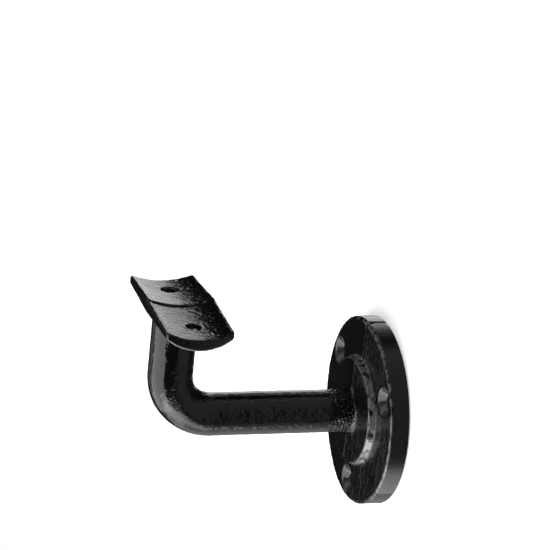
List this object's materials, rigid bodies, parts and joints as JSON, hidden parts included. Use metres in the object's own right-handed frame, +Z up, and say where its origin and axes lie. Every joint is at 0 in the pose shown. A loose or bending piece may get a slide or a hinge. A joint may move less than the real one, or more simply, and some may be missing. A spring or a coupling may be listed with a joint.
{
  "type": "handrail bracket",
  "caption": "Cast wall bracket that carries a round handrail: screwed wall plate with a boss, an arm with an elbow, and a curved saddle.",
  "frame": {"origin": "centre of the wall plate's back face", "axes": "+Y into the wall, +Z up, +X along the handrail; the arm stands out along -Y"},
  "size_m": [0.066, 0.0866, 0.0752],
  "materials": {
    "black_gloss_paint": "thick gloss black paint over a sand-cast iron surface with a faint mould line"
  },
  "bodies": {
    "root": {"bracket_casting": "black_gloss_paint"}
  },
  "joints": []
}
